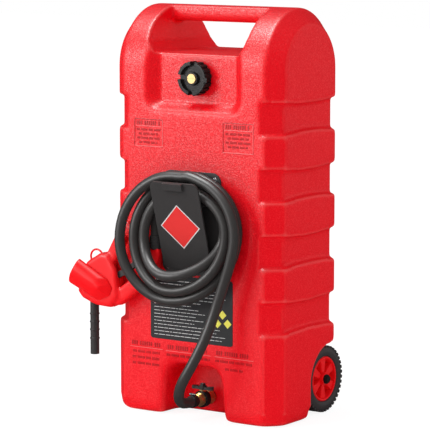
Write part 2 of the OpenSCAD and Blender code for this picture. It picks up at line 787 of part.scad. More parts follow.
module hose_coil() color(rubber) {
    tube(coil_route, hose_d / 2, coil_sides, [0, 1, 0]);
    echo(least_gap_between_turns = least_gap(fine(coil_route, 4), 12));
    echo(least_gap_to_the_tail = gap_between(fine(coil_route, 4), fine([for (k = [2:len(tail_route) - 3])
        placed(tail_route)[k]], 8)));
}

// Nozzle: the loop of grip and guard lies in the x and z plane, in two halves

module in_nozzle() translate([0, nozzle_y, 0]) rotate([90, 0, 0]) children();

module nozzle_form() {
    hull() {
        linear_extrude(nozzle_t - 8, center = true) polygon(body_outline);
        linear_extrude(nozzle_t, center = true) offset(delta = -body_bevel) polygon(body_outline);
    }
    for (a = arms) hull() for (end = [0, 1]) translate(a[end]) {
        cylinder(r = a[2], h = grip_t - 2 * arm_bevel, center = true, $fn = 32);
        cylinder(r = a[2] - arm_bevel, h = grip_t, center = true, $fn = 32);
    }
}

// Hollows that the two halves share: sockets for hose and spout, poppet chamber and trigger slot
module nozzle_hollows() {
    translate([ferrule_x, ferrule_z, 0]) rotate([-90, 0, 0])
        cylinder(r = ferrule_r + room, h = 2 * ferrule_l);
    translate([ferrule_x, ferrule_z - ferrule_stem_l - room, 0]) rotate([-90, 0, 0])
        cylinder(r = ferrule_stem_r + 0.1, h = 2 * ferrule_stem_l);
    translate([spout_x, socket_z, 0]) rotate([90, 0, 0]) cylinder(r = spout_r + 2 * running, h = spout_drop);
    translate([spout_x, socket_z - past, 0]) rotate([-90, 0, 0])
        cylinder(r = poppet_r + 0.5, h = chamber_top - socket_z + past);
    linear_extrude(trigger_t + 2 * room, center = true) {
        translate(pivot) circle(eye_r + room);
        hull() for (turn = [0, squeeze]) turned(turn) capsule(pivot, lever_bend, lever_r + room);
        hull() for (turn = [0, squeeze]) turned(turn) capsule(lever_bend, lever_mid, lever_mid_r + room);
    }
    translate(pivot) cylinder(r = pin_r + running, h = nozzle_t - 4, center = true);
}

// Turns its children about the trigger's pivot
module turned(angle) translate(pivot) rotate(angle) translate(-pivot) children();

module nozzle_half(side) in_nozzle() difference() {
    intersection() {
        nozzle_form();
        translate([-tank_w, 0, side > 0 ? 0 : -nozzle_t]) cube([2 * tank_w, tank_h, nozzle_t]);
    }
    nozzle_hollows();
    for (p = nozzle_screw_at) translate(p) {
        cylinder(r = nozzle_screw_r + running, h = grip_t - 6, center = true);
        translate([0, 0, -nozzle_t]) cylinder(r = nozzle_head_r + 0.1, h = nozzle_t - 5);
    }
}

module nozzle_front_shell() color(red) nozzle_half(1);
module nozzle_rear_shell() color(red) nozzle_half(-1);

module nozzle_screws() color(steel) in_nozzle() for (p = nozzle_screw_at) translate(p) {
    translate([0, 0, -7]) cylinder(r = nozzle_head_r, h = 2);
    translate([0, 0, -6]) cylinder(r = nozzle_screw_r, h = nozzle_screw_l);
}

module nozzle_hood() color(red) in_nozzle() translate([0, 0, nozzle_t / 2]) hull() {
    linear_extrude(hood_t - hood_bevel) polygon(hood_outline);
    linear_extrude(hood_t) offset(delta = -hood_bevel) polygon(hood_outline);
}

module hang_loop() color(red) in_nozzle() translate(loop_at) rotate(loop_turn)
    rotate_extrude(angle = 180) translate([loop_r, 0]) circle(loop_wire);

module nozzle_ferrule() color(black) translate([ferrule_x, nozzle_y, 0]) {
    translate([0, 0, ferrule_z]) difference() {
        cylinder(r = ferrule_r, h = ferrule_l);
        for (k = [1:3]) translate([0, 0, k * ferrule_l / 4]) ring(ferrule_r + past, ferrule_r - 0.8, 2);
    }
    translate([0, 0, ferrule_z - ferrule_stem_l]) cylinder(r = ferrule_stem_r, h = ferrule_stem_l + 1);
}

module spout() color(black) translate([spout_x, nozzle_y, socket_z - spout_drop]) difference() {
    union() {
        cylinder(r = spout_r, h = spout_drop);
        for (z = ridge_places) translate([0, 0, spout_drop - z - ridge_t / 2])
            cylinder(r = ridge_r, h = ridge_t);
    }
    translate([0, 0, -past]) cylinder(r = spout_bore_r, h = spout_drop + 2 * past);
}

module limb(a, b, r) hull() for (end = [a, b]) translate(end) circle(r, $fn = 24);

// Lever from the pivot, round the poppet's stem and under its collar, to the finger end
module trigger() color(black) in_nozzle() difference() {
    linear_extrude(trigger_t, center = true) {
        translate(pivot) circle(eye_r);
        translate(pivot - [0, lever_r]) square([lever_bend[0] - pivot[0], 2 * lever_r]);
        limb(lever_bend, lever_mid, lever_mid_r);
        limb(lever_mid, lever_tip, lever_tip_r);
    }
    translate(pivot) cylinder(r = pin_r + running, h = 2 * trigger_t, center = true);
    translate([fork[0], pivot[1] - 2 * lever_r, -fork_w / 2]) cube([fork[1] - fork[0], 4 * lever_r, fork_w]);
}

module trigger_pin() color(steel) in_nozzle() translate(pivot)
    cylinder(r = pin_r, h = nozzle_t - 5, center = true);

module poppet() color(brass) translate([spout_x, nozzle_y, 0]) {
    translate([0, 0, socket_z + room]) cylinder(r = poppet_r, h = 3);
    translate([0, 0, socket_z + room]) cylinder(r = 2, h = collar_z - socket_z + collar_t + 8);
    translate([0, 0, collar_z]) cylinder(r = poppet_r - 1, h = collar_t);
}

module poppet_spring() color(steel) {
    low = collar_z + collar_t + spring_wire + room;
    high = chamber_top - spring_wire - room;
    steps = spring_turns * 8;
    tube([for (k = [0:steps]) [spout_x + spring_r * cos(45 * k), nozzle_y + spring_r * sin(45 * k),
        low + (high - low) * k / steps]], spring_wire, 6, [1, 0, 0]);
}

tank_shell();
filler_cap();
cap_gasket();
vent_screw();
hanger_base();
hanger_plate();
hanger_plate_screws();
hanger_base_screws();
hanger_inserts();
axle();
left_tyre();
left_rim();
right_tyre();
right_rim();
axle_washers();
axle_caps();
bulkhead_fitting();
outlet_washer();
outlet_nut();
valve_body();
valve_ball();
valve_seats();
valve_stem();
valve_handle();
handle_nut();
hose_barb();
tail_clamp();
hose_tail();
hose_coil();
nozzle_ferrule();
nozzle_front_shell();
nozzle_rear_shell();
nozzle_hood();
hang_loop();
spout();
trigger();
trigger_pin();
poppet();
poppet_spring();
nozzle_screws();
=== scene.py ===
"""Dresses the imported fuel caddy: moulded tank, hose, nozzle, hanger, valve, wheels and stage."""

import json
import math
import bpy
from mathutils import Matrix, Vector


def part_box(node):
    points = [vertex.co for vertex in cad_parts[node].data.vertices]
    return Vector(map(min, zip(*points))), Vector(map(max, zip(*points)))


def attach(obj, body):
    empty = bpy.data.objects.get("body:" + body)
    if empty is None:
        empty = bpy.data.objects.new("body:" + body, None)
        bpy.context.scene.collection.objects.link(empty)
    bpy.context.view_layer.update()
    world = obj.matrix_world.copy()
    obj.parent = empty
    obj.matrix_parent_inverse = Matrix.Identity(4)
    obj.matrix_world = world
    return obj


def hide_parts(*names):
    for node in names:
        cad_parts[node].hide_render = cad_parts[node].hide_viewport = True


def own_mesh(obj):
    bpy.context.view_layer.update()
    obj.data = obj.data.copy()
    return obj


bl_info = {
    "name": "Fuel caddy dresser",
    "version": (1, 0, 0),
    "blender": (4, 5, 0),
    "location": "View3D > Sidebar > Caddy",
    "description": "Builds the visible pieces of a wheeled fuel caddy round its packed solids",
    "category": "Object",
}

import bmesh
import bpy
from bpy.props import FloatProperty, FloatVectorProperty, IntProperty, PointerProperty
from mathutils import Matrix, Vector

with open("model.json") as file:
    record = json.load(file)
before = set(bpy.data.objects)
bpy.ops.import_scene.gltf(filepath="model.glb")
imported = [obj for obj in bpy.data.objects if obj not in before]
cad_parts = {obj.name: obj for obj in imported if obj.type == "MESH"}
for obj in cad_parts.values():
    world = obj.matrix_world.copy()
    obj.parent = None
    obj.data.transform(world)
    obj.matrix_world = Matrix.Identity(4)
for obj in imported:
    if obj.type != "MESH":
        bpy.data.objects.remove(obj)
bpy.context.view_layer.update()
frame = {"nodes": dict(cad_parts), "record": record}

# The part is drawn in millimetres, front towards -y, and Blender works in metres
MM = 0.001
ROOT = "caddy"
# Angle in degrees past which an edge is shaded sharp
SHARP = 40


def named(rows, name):
    """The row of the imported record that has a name"""
    return next(row for row in rows if row["name"] == name)


def spot(row):
    """Where a joint or a mount sits, in millimetres"""
    return [round(c / MM, 3) for c in row["pos_m"]]


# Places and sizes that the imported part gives
JOINTS = frame["record"]["behaviour"]["joints"]
FRONT_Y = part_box("tank_shell")[0][1] / MM
CAP_Y, FILLER_Z = spot(named(JOINTS, "cap_turn"))[1:]
OUTLET_Z = spot(named(JOINTS, "valve_turn"))[2]
AXLE_Y, AXLE_Z = spot(named(JOINTS, "right_wheel_spin"))[1:]
TYRE_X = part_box("right_tyre")[0][0] / MM
TYRE_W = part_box("right_tyre")[1][0] / MM - TYRE_X
SPOUT_X, SEAM_Y = spot(named(frame["record"]["mounts"], "spout_tip"))[:2]


def colour_prop(name, description, default):
    """A colour that a user may change"""
    return FloatVectorProperty(name=name, description=description, subtype="COLOR", size=3,
                               min=0, max=1, default=default)


def length_prop(name, description, default):
    """A length in metres that a user may change"""
    return FloatProperty(name=name, description=description, unit="LENGTH", min=0, default=default)


class CaddyFinish(bpy.types.PropertyGroup):
    """Colours of the caddy's materials"""
    tank_red: colour_prop("Tank red", "Moulded tank", (0.80, 0.003, 0.010))
    nozzle_red: colour_prop("Nozzle red", "Nozzle shells, loop and wheel rims", (0.84, 0.006, 0.010))
    black: colour_prop("Black plastic", "Cap, hanger, handle and trigger", (0.039, 0.036, 0.036))
    hose: colour_prop("Hose", "Rubber of the hose", (0.036, 0.033, 0.032))
    tyre: colour_prop("Tyre", "Rubber of the tyres", (0.044, 0.039, 0.040))
    brass: colour_prop("Brass", "Valve, vent screw and inserts", (0.60, 0.42, 0.18))
    steel: colour_prop("Steel", "Axle, screws and clamp", (0.30, 0.30, 0.31))
    label: colour_prop("Label", "Dark face of the front plate", (0.030, 0.030, 0.032))


class CaddyTank(bpy.types.PropertyGroup):
    """How the tank's skin is softened"""
    cell: length_prop("Cell", "Size of the skin's cells", 0.0032)
    passes: IntProperty(name="Passes", description="Smoothing passes over all edges", min=0, default=4)
    foot_passes: IntProperty(name="Foot passes", description="Further passes round the foot and the pocket",
                             min=0, default=70)
    rim_passes: IntProperty(name="Bay passes", description="Further passes round the rim of the filler bay",
                            min=0, default=10)
    kept: FloatProperty(name="Kept", description="Share of the skin's triangles that is kept", subtype="FACTOR",
                        min=0, max=1, default=0.74)


class CaddyHose(bpy.types.PropertyGroup):
    """Size of the hose"""
    diameter: length_prop("Diameter", "Outer diameter of the hose", 0.021)


class CaddyStage(bpy.types.PropertyGroup):
    """Camera and light"""
    camera_at: FloatVectorProperty(name="Camera", description="Place of the camera", subtype="XYZ", size=3,
                                   default=(2.8182, -4.1823, 1.0602))
    camera_turn: FloatVectorProperty(name="Turn", description="Turn of the camera", subtype="EULER", size=3,
                                     default=(math.radians(82.51), 0, math.radians(34.24)))
    lens: FloatProperty(name="Lens", description="Focal length in millimetres", min=1, default=211.3)
    key_power: FloatProperty(name="Key", description="Power of the soft key lamp", subtype="POWER", default=42)
    sheen_power: FloatProperty(name="Sheen", description="Power of the panel mirrored in the front",
                               subtype="POWER", default=385)
    crown_power: FloatProperty(name="Crown", description="Power of the panel mirrored in the shoulders",
                               subtype="POWER", default=700)
    side_power: FloatProperty(name="Side", description="Power of the panel mirrored in the right side",
                              subtype="POWER", default=14)
    fill: FloatProperty(name="Surround", description="Strength of the surround's light", min=0, default=0.88)
    mirror: FloatProperty(name="Mirrored", description="Strength of the surround in gloss", min=0, default=0.05)
    floor: colour_prop("Floor", "Pale floor", (0.86, 0.86, 0.86))


# Shapes

def upright(depth, x, z):
    """Frame on the front face, its z axis pointing forwards"""
    return Matrix.Translation((x * MM, (FRONT_Y + depth) * MM, z * MM)) @ Matrix.Rotation(math.pi / 2, 4, "X")


def across(x, y, z, side):
    """Frame on the axle, its z axis pointing to the right for 1 and to the left for -1"""
    return Matrix.Translation((x * MM, y * MM, z * MM)) @ Matrix.Rotation(side * math.pi / 2, 4, "Y")


def tidy(bm):
    """Merges doubles and points the faces outwards"""
    bmesh.ops.remove_doubles(bm, verts=bm.verts, dist=1e-6)
    bmesh.ops.recalc_face_normals(bm, faces=bm.faces)
    return bm


def place(bm, matrix):
    """Moves a whole shape"""
    bmesh.ops.transform(bm, matrix=matrix, verts=bm.verts)
    return bm


def turned(profile, steps):
    """Spins a closed profile of radius and height about the z axis"""
    bm = bmesh.new()
    verts = [bm.verts.new((r * MM, 0, z * MM)) for r, z in profile]
    edges = [bm.edges.new(pair) for pair in zip(verts, verts[1:] + verts[:1])]
    bmesh.ops.spin(bm, geom=verts + edges, cent=(0, 0, 0), axis=(0, 0, 1), angle=2 * math.pi, steps=steps,
                   use_merge=True, use_duplicate=False)
    return tidy(bm)


def block(bm, at, x, y, z):
    """Adds a box with the given sides, its middle on a frame"""
    bmesh.ops.create_cube(bm, size=1, matrix=at @ Matrix.Diagonal((x * MM, y * MM, z * MM, 1)))


def outline_prism(points, low, high):
    """A flat outline, in the x and y plane, given a thickness along z"""
    bm = bmesh.new()
    face = bm.faces.new([bm.verts.new((x * MM, y * MM, low * MM)) for x, y in points])
    grown = bmesh.ops.extrude_face_region(bm, geom=[face])
    top = [v for v in grown["geom"] if isinstance(v, bmesh.types.BMVert)]
    bmesh.ops.translate(bm, verts=top, vec=(0, 0, (high - low) * MM))
    bmesh.ops.recalc_face_normals(bm, faces=bm.faces)
    return bm


def loft(layers):
    """Joins flat outlines of as many points, each at its own height along z, into a closed shape"""
    bm = bmesh.new()
    loops = []
    for points, height in layers:
        verts = [bm.verts.new((x * MM, y * MM, height * MM)) for x, y in points]
        loops.append([bm.edges.new(pair) for pair in zip(verts, verts[1:] + verts[:1])])
    for a, b in zip(loops, loops[1:]):
        bmesh.ops.bridge_loops(bm, edges=a + b)
    for loop in (loops[0], loops[-1]):
        bmesh.ops.holes_fill(bm, edges=loop, sides=0)
    bmesh.ops.recalc_face_normals(bm, faces=bm.faces)
    return bm


def rounded_corners(w, h, r, steps=8):
    """Corner points of a rectangle with rounded corners"""
    points = []
    for quarter, (sx, sy) in enumerate(((1, 1), (-1, 1), (-1, -1), (1, -1))):
        for k in range(steps + 1):
            a = math.radians(90 * (quarter + k / steps))
            points.append((sx * (w / 2 - r) + r * math.cos(a), sy * (h / 2 - r) + r * math.sin(a)))
    return points


def soften(bm, width, segments=2, sharper=28):
    """Rounds the edges that are sharper than an angle"""
    limit = math.radians(sharper)
    edges = [e for e in bm.edges if e.is_manifold and e.calc_face_angle() > limit]
    bmesh.ops.bevel(bm, geom=edges, offset=width * MM, affect="EDGES", segments=segments, profile=0.5,
                    material=-1, clamp_overlap=True)
    return bm


def add(bm, other):
    """Joins another shape into the first"""
    mesh = bpy.data.meshes.new("joined")
    other.to_mesh(mesh)
    other.free()
    bm.from_mesh(mesh)
    bpy.data.meshes.remove(mesh)
    return bm


def solid_copy(node):
    """A merged copy of one of the part's own solids, its flat faces whole"""
    bm = bmesh.new()
    bm.from_mesh(frame["nodes"][node].data)
    bmesh.ops.remove_doubles(bm, verts=bm.verts, dist=1e-6)
    bmesh.ops.dissolve_limit(bm, angle_limit=math.radians(0.5), verts=bm.verts, edges=bm.edges)
    return bm


def cells(bm, size):
    """Rebuilds a closed shape from even cells"""
    mesh = bpy.data.meshes.new("work")
    bm.to_mesh(mesh)
    bm.free()
    obj = bpy.data.objects.new("work", mesh)
    bpy.context.collection.objects.link(obj)
    remesh = obj.modifiers.new("Cells", "REMESH")
    remesh.mode = "VOXEL"
    remesh.voxel_size = size
    result = bmesh.new()
    result.from_object(obj, bpy.context.evaluated_depsgraph_get())
    bpy.data.objects.remove(obj)
    bpy.data.meshes.remove(mesh)
    return result


def smooth(bm, passes, inside=lambda point: True):
    """Smooths the points that lie inside a zone, given in millimetres"""
    verts = [v for v in bm.verts if inside(v.co / MM)]
    for _ in range(passes):
        bmesh.ops.smooth_vert(bm, verts=verts, factor=0.5, use_axis_x=True, use_axis_y=True, use_axis_z=True)
    return bm


def piece(name, bm, material, nodes=(), body=ROOT, sharp=None):
    """Finishes a shape as a piece that rides on a body and stands for solids"""
    mesh = bpy.data.meshes.new(name)
    bm.to_mesh(mesh)
    bm.free()
    mesh.shade_smooth()
    if sharp:
        mesh.set_sharp_from_angle(angle=math.radians(sharp))
    mesh.materials.append(material)
    obj = bpy.data.objects.new(name, mesh)
    if sharp:
        obj.modifiers.new("Flat faces", "WEIGHTED_NORMAL").keep_sharp = True
    bpy.context.collection.objects.link(obj)
    return ridden(obj, nodes, body)


def ridden(obj, nodes, body=ROOT):
    """Ties an object to its body and hides the solids that it stands for"""
    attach(obj, body)
    if nodes:
        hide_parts(*nodes)
    return obj


def dressed(node, material, body=ROOT, round_mm=0.5):
    """A solid of the part with its sharp edges rounded"""
    bm = soften(solid_copy(node), round_mm)
    return piece(node + "_dressed", bm, material, [node], body, sharp=SHARP)


# Materials

# Pale tint of the painted highlight on convex edges, as if they caught the light
EDGE_HIGHLIGHT_TINT = (0.92, 0.36, 0.33, 1)
# Soft patches: how many to a metre, and their share in the shading
PATCH_SCALE, PATCH_SHARE = 9.0, 0.15
# Bounds between which a ridge gets the painted highlight and the grain turns into a glint
RIDGES = (0.51, 0.58)
PEAKS = (0.48, 0.7)


def group_of(name, inputs, outputs):
    """A shader node group with its sockets, and its ends"""
    group = bpy.data.node_groups.new(name, "ShaderNodeTree")
    for label, kind, default in inputs:
        socket = group.interface.new_socket(label, in_out="INPUT", socket_type=kind)
        socket.default_value = default
    for label, kind in outputs:
        group.interface.new_socket(label, in_out="OUTPUT", socket_type=kind)
    return group, group.nodes.new("NodeGroupInput"), group.nodes.new("NodeGroupOutput")


def shader(tree, kind, **settings):
    """A node with its settings"""
    node = tree.nodes.new("ShaderNode" + kind)
    for name, value in settings.items():
        setattr(node, name, value)
    return node


def noise(tree, vector, scale, detail):
    """Noise on the given coordinates"""
    node = shader(tree, "TexNoise")
    node.inputs["Detail"].default_value = detail
    tree.links.new(vector, node.inputs["Vector"])
    if isinstance(scale, (int, float)):
        node.inputs["Scale"].default_value = scale
    else:
        tree.links.new(scale, node.inputs["Scale"])
    return node.outputs["Fac"]


def maths(tree, operation, a, b):
    """A calculation on two values or sockets"""
    node = shader(tree, "Math", operation=operation)
    for socket, value in zip(node.inputs, (a, b)):
        if isinstance(value, (int, float)):
            socket.default_value = value
        else:
            tree.links.new(value, socket)
    return node.outputs[0]


def ramp(tree, value, low, high):
    """A value spread from 0 to 1 between two bounds"""
    node = shader(tree, "MapRange")
    tree.links.new(value, node.inputs["Value"])
    node.inputs["From Min"].default_value = low
    node.inputs["From Max"].default_value = high
    return node.outputs["Result"]


def moulded_grain():
    """Grain, tint, a painted highlight on convex edges and gloss of a moulded surface, shared by plastics, rubbers and
    metals
    """
    if "Moulded grain" in bpy.data.node_groups:
        return bpy.data.node_groups["Moulded grain"]
    group, inside, outside = group_of(
        "Moulded grain",
        [("Colour", "NodeSocketColor", (1, 1, 1, 1)), ("Shade", "NodeSocketFloat", 0.1),
         ("Grain", "NodeSocketFloat", 600.0), ("Gloss", "NodeSocketFloat", 0.4),
         ("Patches", "NodeSocketFloat", 0.06), ("Edges", "NodeSocketFloat", 0.0), ("Glints", "NodeSocketFloat", 0.0)],
        [("Colour", "NodeSocketColor"), ("Roughness", "NodeSocketFloat"), ("Height", "NodeSocketFloat"),
         ("Glints", "NodeSocketFloat")])
    coords = shader(group, "TexCoord").outputs["Object"]
    fine = noise(group, coords, inside.outputs["Grain"], 2.0)
    patch = noise(group, coords, PATCH_SCALE, 3.0)
    speck = maths(group, "ADD", maths(group, "MULTIPLY", fine, 1 - PATCH_SHARE),
                  maths(group, "MULTIPLY", patch, PATCH_SHARE))
    shade = maths(group, "MULTIPLY", maths(group, "SUBTRACT", speck, 0.5), inside.outputs["Shade"])
    tint = shader(group, "HueSaturation")
    group.links.new(maths(group, "ADD", shade, 1.0), tint.inputs["Value"])
    group.links.new(inside.outputs["Colour"], tint.inputs["Color"])
    # Painted highlight: edges with high pointiness are mixed towards the pale tint
    ridge = ramp(group, shader(group, "NewGeometry").outputs["Pointiness"], *RIDGES)
    edge_highlight = shader(group, "Mix", data_type="RGBA")
    group.links.new(maths(group, "MULTIPLY", ridge, inside.outputs["Edges"]), edge_highlight.inputs[0])
    group.links.new(tint.outputs["Color"], edge_highlight.inputs[6])
    edge_highlight.inputs[7].default_value = EDGE_HIGHLIGHT_TINT
    group.links.new(edge_highlight.outputs[2], outside.inputs["Colour"])
    drift = maths(group, "MULTIPLY", maths(group, "SUBTRACT", patch, 0.5), inside.outputs["Patches"])
    group.links.new(maths(group, "ADD", drift, inside.outputs["Gloss"]), outside.inputs["Roughness"])
    group.links.new(fine, outside.inputs["Height"])
    glints = maths(group, "MULTIPLY", ramp(group, fine, *PEAKS), inside.outputs["Glints"])
    group.links.new(glints, outside.inputs["Glints"])
    return group


def new_material(name):
    """An empty material with its Principled shader"""
    material = bpy.data.materials.new(name)
    material.use_nodes = True
    return material, material.node_tree, material.node_tree.nodes["Principled BSDF"]


# edges sets the strength of the painted highlight on convex edges
def grained(name, colour, grain, gloss, shade=0.1, patches=0.06, depth=0.15, strength=0.3, metal=0.0, level=0.1,
            edges=0.0, glints=0.0):
    """A material on the shared group: grain in bumps to a metre, gloss as a roughness, bump depth in millimetres"""
    name = "caddy_" + name
    if name in bpy.data.materials:
        return bpy.data.materials[name]
    material, tree, bsdf = new_material(name)
    group = shader(tree, "Group", node_tree=moulded_grain())
    for label, value in (("Colour", (*colour, 1)), ("Shade", shade), ("Grain", grain), ("Gloss", gloss),
                         ("Patches", patches), ("Edges", edges), ("Glints", glints)):
        group.inputs[label].default_value = value
    tree.links.new(group.outputs["Colour"], bsdf.inputs["Base Color"])
    tree.links.new(group.outputs["Roughness"], bsdf.inputs["Roughness"])
    if glints:
        tree.links.new(group.outputs["Glints"], bsdf.inputs["Coat Weight"])
        bsdf.inputs["Coat Roughness"].default_value = gloss
    bump = shader(tree, "Bump")
    bump.inputs["Strength"].default_value = strength
    bump.inputs["Distance"].default_value = depth * MM
    tree.links.new(group.outputs["Height"], bump.inputs["Height"])
    tree.links.new(bump.outputs["Normal"], bsdf.inputs["Normal"])
    bsdf.inputs["Metallic"].default_value = metal
    bsdf.inputs["Specular IOR Level"].default_value = level
    return material


def colours():
    """The colours that the panel holds"""
    return bpy.context.scene.caddy_finish


def darker(colour, share):
    """A share of a colour"""
    return [share * c for c in colour]


def tank_plastic():
    """Grained red of the tank, with a painted highlight on its edges"""
    return grained("tank_plastic", colours().tank_red, 437, 0.42, shade=0.38, depth=0.6, strength=1.0, level=0.06,
                   edges=0.32, glints=0.29)


def mark_plastic():
    """Tank red painted darker, as painted shade, on the raised strokes and the frames' top and left bars"""
    return grained("mark_plastic", darker(colours().tank_red, 0.55), 600, 0.5, shade=0.1)


def edge_plastic():
    """Tank red painted lighter, as a painted highlight, on the frames' bottom and right bars and under the headings"""
    return grained("edge_plastic", [c + 0.1 * (1 - c) for c in colours().tank_red], 600, 0.4, shade=0.1)


def nozzle_plastic():
    """Smooth bright red of the nozzle's shells and the rims"""
    return grained("nozzle_plastic", colours().nozzle_red, 900, 0.38, shade=0.05, level=0.09)


def hood_plastic():
    """Duller red of the nozzle's hood"""
    return grained("hood_plastic", colours().nozzle_red, 900, 0.38, shade=0.05, level=0.025)


def black_plastic():
    """Smooth black of the hanger, handle, trigger and spout"""
    return grained("black_plastic", colours().black, 800, 0.42, shade=0.3, strength=0.06)


def cap_plastic():
    """Rough deep black of the filler cap, the collar and the axle's caps"""
    return grained("cap_plastic", darker(colours().black, 0.35), 600, 0.34, shade=0.5, depth=0.5, strength=0.5,
                   level=0.045)


def hose_rubber():
    """Smooth rubber with a soft sheen"""
    return grained("hose_rubber", colours().hose, 700, 0.46, shade=0.25, strength=0.05, level=0.12)


def seal_rubber():
    """Matte rubber of the seals"""
    return grained("seal_rubber", colours().hose, 900, 0.7, shade=0.2)


def tyre_rubber():
    """Dusty rubber of the tyres"""
    return grained("tyre_rubber", colours().tyre, 500, 0.55, shade=0.5, depth=0.3, level=0.25)


def brass_metal():
    """Machined brass"""
    return grained("brass_metal", colours().brass, 350, 0.28, shade=0.12, patches=0.12, strength=0.12, metal=0.85,
                   level=0.3)


def dull_brass():
    """Brass of the vent screw, painted darker and made duller than the valve's brass as painted shade against the
    lamps' glare
    """
    return grained("dull_brass", darker(colours().brass, 0.6), 350, 0.5, shade=0.12, patches=0.12, strength=0.12,
                   metal=0.3)


def steel_metal():
    """Zinc-plated steel"""
    return grained("steel_metal", colours().steel, 400, 0.32, shade=0.1, patches=0.1, strength=0.12, metal=1.0)


def dark_steel():
    """Blackened steel of the clamp and the handle's nut"""
    return grained("dark_steel", (0.03, 0.03, 0.03), 400, 0.4, shade=0.1, patches=0.1, strength=0.12, metal=0.6)


def label_film():
    """Dark film on the front plate"""
    return grained("label_film", colours().label, 900, 0.34, shade=0.15, strength=0.03, level=0.1)


def print_white():
    """White print"""
    return grained("print_white", (0.62, 0.62, 0.62), 900, 0.5, shade=0.1, strength=0.1)


def print_red():
    """Red print"""
    return grained("print_red", (0.72, 0.030, 0.028), 900, 0.4, shade=0.08, strength=0.1)


def print_yellow():
    """Yellow print"""
    return grained("print_yellow", (0.80, 0.74, 0.10), 900, 0.4, shade=0.08, strength=0.1)


def seat_polymer():
    """Pale polymer of the valve's seats"""
    return grained("seat_polymer", (0.8, 0.8, 0.78), 700, 0.4)


# Stage

# Each soft lamp's place and side in metres, and the rays that it is hidden from
LAMPS = {
    "key": ((-1.6, -2.2, 2.4), 1.4, "visible_glossy"),
    "sheen": ((-1.9, -2.8, 1.3), 1.3, "visible_diffuse"),
    "crown": ((-0.6, -0.8, 3.2), 1.2, "visible_diffuse"),
    "side": ((2.2, 2.8, 0.9), 1.4, "visible_diffuse"),
}
TANK_MIDDLE = Vector((0, 0, 0.4))
FLOOR_HALF = 12
FLOOR_GLOW, GLOW_SHARE = 1.12, 0.8


class CADDY_OT_stage(bpy.types.Operator):
    """Sets the camera, the soft lamps, the floor and the white surround"""
    bl_idname = "caddy.stage"
    bl_label = "Stage"

    def execute(self, context):
        props = context.scene.caddy_stage
        camera = bpy.data.objects.new("camera", bpy.data.cameras.new("camera"))
        camera.location = props.camera_at
        camera.rotation_euler = props.camera_turn
        camera.data.lens = props.lens
        camera.data.clip_end = 50
        context.collection.objects.link(camera)
        context.scene.camera = camera
        context.scene.view_settings.view_transform = "Standard"
        for name, (at, side, hidden_from) in LAMPS.items():
            lamp = self.lamp(context, name, at, side, getattr(props, name + "_power"))
            setattr(lamp, hidden_from, False)
        self.surround(context, props.fill, props.mirror)
        self.floor(context, props.floor)
        return {"FINISHED"}

    def lamp(self, context, name, at, side, power):
        """A square soft lamp that looks at the middle of the tank"""
        lamp = bpy.data.objects.new(name, bpy.data.lights.new(name, "AREA"))
        lamp.data.size = side
        lamp.data.energy = power
        lamp.location = at
        lamp.rotation_euler = (TANK_MIDDLE - Vector(at)).to_track_quat("-Z", "Y").to_euler()
        context.collection.objects.link(lamp)
        return lamp

    def surround(self, context, strength, mirrored):
        """White to the camera, dim in gloss and a plain soft light to the rest"""
        world = bpy.data.worlds.new("surround")
        world.use_nodes = True
        context.scene.world = world
        world.cycles.sampling_method = "NONE"
        tree = world.node_tree
        tree.nodes.clear()
        path = shader(tree, "LightPath")
        seen = maths(tree, "MAXIMUM", path.outputs["Is Camera Ray"], path.outputs["Is Transmission Ray"])
        soft = shader(tree, "Background")
        soft.inputs["Color"].default_value = (1, 1, 1, 1)
        gloss = maths(tree, "MULTIPLY", path.outputs["Is Glossy Ray"], mirrored - strength)
        tree.links.new(maths(tree, "ADD", gloss, strength), soft.inputs["Strength"])
        white = shader(tree, "Background")
        white.inputs["Color"].default_value = (1, 1, 1, 1)
        mix = shader(tree, "MixShader")
        tree.links.new(seen, mix.inputs["Fac"])
        tree.links.new(soft.outputs[0], mix.inputs[1])
        tree.links.new(white.outputs[0], mix.inputs[2])
        tree.links.new(mix.outputs[0], shader(tree, "OutputWorld").inputs["Surface"])

    def floor(self, context, colour):
        """A pale floor that shows white to the camera and keeps the shadow"""
        bm = bmesh.new()
        bmesh.ops.create_grid(bm, x_segments=1, y_segments=1, size=FLOOR_HALF)
        mesh = bpy.data.meshes.new("floor")
        bm.to_mesh(mesh)
        bm.free()
        floor = bpy.data.objects.new("floor", mesh)
        floor.visible_glossy = False
        context.collection.objects.link(floor)
        material, tree, bsdf = new_material("pale_floor")
        bsdf.inputs["Base Color"].default_value = (*colour, 1)
        bsdf.inputs["Roughness"].default_value = 0.8
        glow = shader(tree, "Emission")
        glow.inputs["Strength"].default_value = FLOOR_GLOW
        path = shader(tree, "LightPath")
        mix = shader(tree, "MixShader")
        tree.links.new(maths(tree, "MULTIPLY", path.outputs["Is Camera Ray"], GLOW_SHARE), mix.inputs["Fac"])
        tree.links.new(bsdf.outputs[0], mix.inputs[1])
        tree.links.new(glow.outputs[0], mix.inputs[2])
        tree.links.new(mix.outputs[0], tree.nodes["Material Output"].inputs["Surface"])
        mesh.materials.append(material)


# Hose

# Route from the valve up to the coil, as x, depth from the front face and height
TAIL_ROUTE = [
    (0, 12, 35), (0, -2, 35), (0, -12, 35), (3, -38, 39), (10, -60, 52), (21, -75, 71), (34, -80, 94),
    (48, -77, 119), (60, -70, 146), (70, -61, 174), (78, -52, 203), (86, -45, 234), (96, -42, 266),
    (108, -41, 300), (120, -41, 336), (127, -41, 374), (122, -41, 412), (103, -40.5, 447), (70, -40, 474),
    (26, -40, 490), (5, -40, 490)]
TAIL_PARTS = 6
# Left, top, right and bottom of the coil's loops, from the nozzle outwards
COIL_STOPS = [
    (-76, -17.3, 388), (0, -14, 460), (86, -14, 384), (-14, -66, 295), (-88, -41, 366), (4, -35.5, 462),
    (103, -35, 384), (-20, -50, 263), (-113, -40.5, 362), (0, -14, 489), (116, -14, 384), (-30, -38, 241),
    (-139, -53, 358), (-16, -40, 490)]
FERRULE_END = (-76, -17.3, 365)
QUARTER_PARTS = 14


